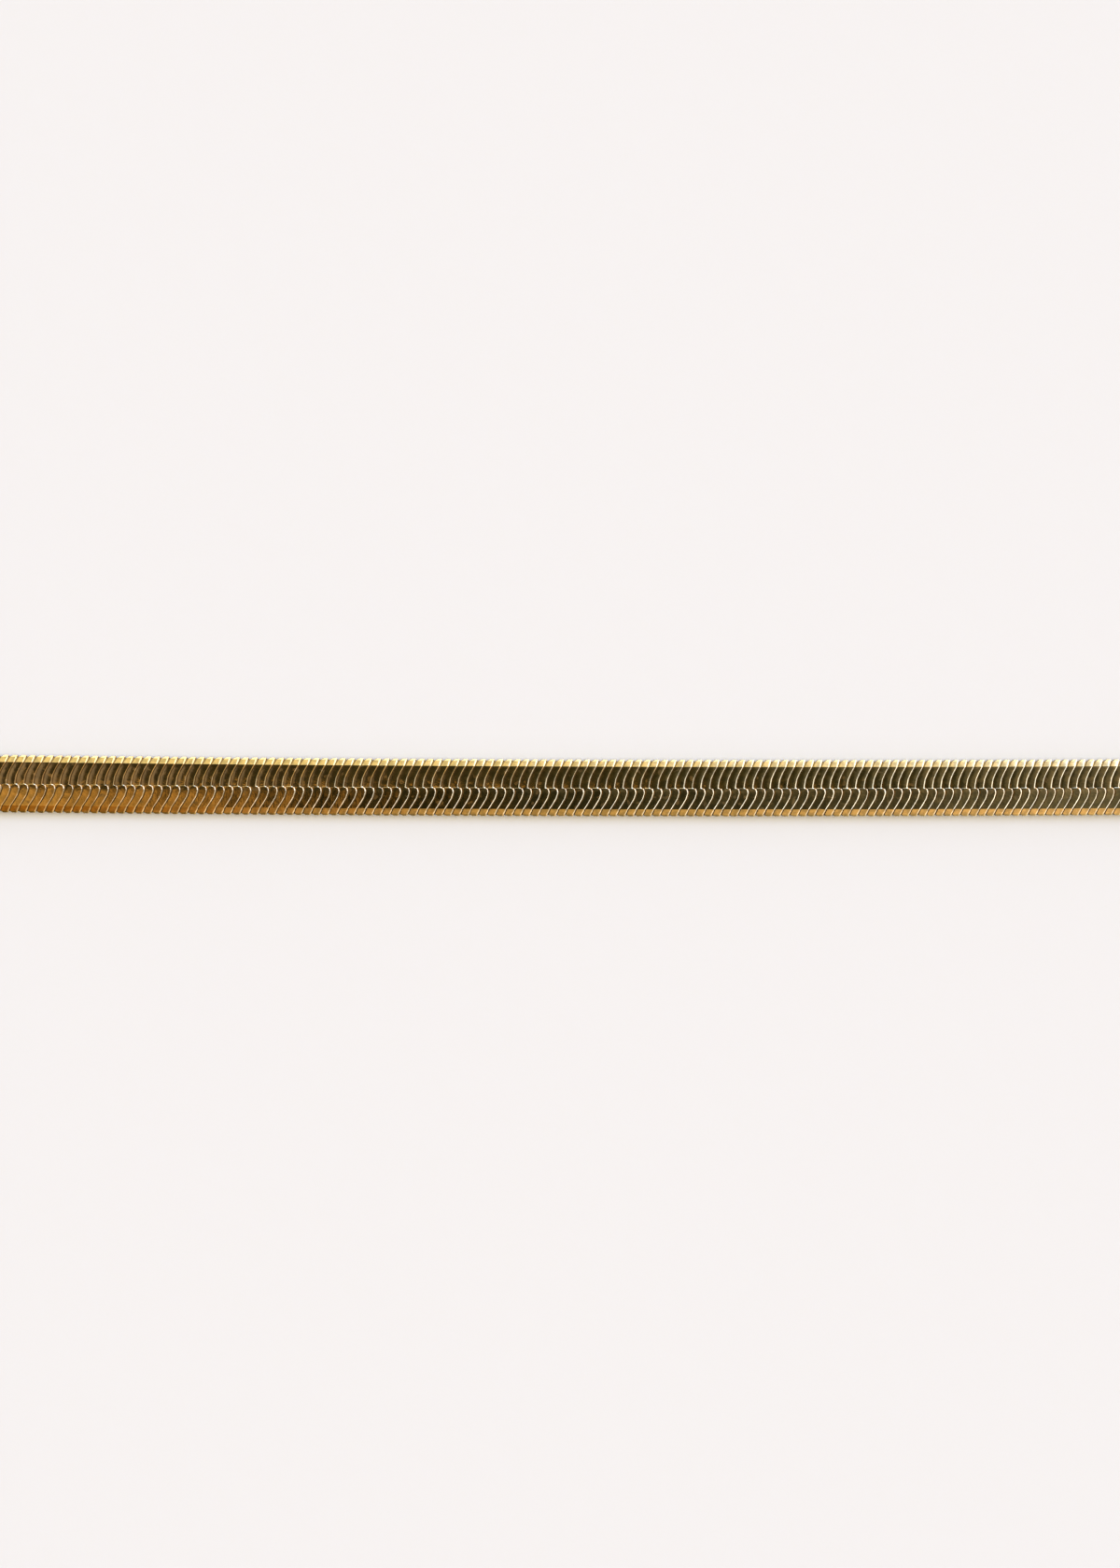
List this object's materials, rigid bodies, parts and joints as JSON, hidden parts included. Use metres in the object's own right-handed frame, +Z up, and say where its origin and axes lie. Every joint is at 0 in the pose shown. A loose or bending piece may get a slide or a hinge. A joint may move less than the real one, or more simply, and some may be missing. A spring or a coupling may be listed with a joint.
{
  "type": "flat snake chain necklace",
  "caption": "Flat snake chain necklace of S-shaped nested links with sloping edges, closed in a loop by plain end caps with rings and a lobster claw clasp.",
  "frame": {"origin": "centre of the closed necklace's footprint on the surface that it lies on", "axes": "+X along the nearly straight front stretch, from the clasp's eye side to its claw side; +Y from the front stretch towards the clasp; +Z up, out of the chain's face"},
  "size_m": [0.1818, 0.0878, 0.0036],
  "materials": {
    "chain_gold": "mirror-polished yellow gold plate on flat-ground links",
    "fitting_gold": "polished yellow gold plate"
  },
  "bodies": {
    "root": {"chain": "chain_gold", "end_cap_left": "fitting_gold", "end_cap_right": "fitting_gold", "clasp": "fitting_gold"}
  },
  "joints": []
}
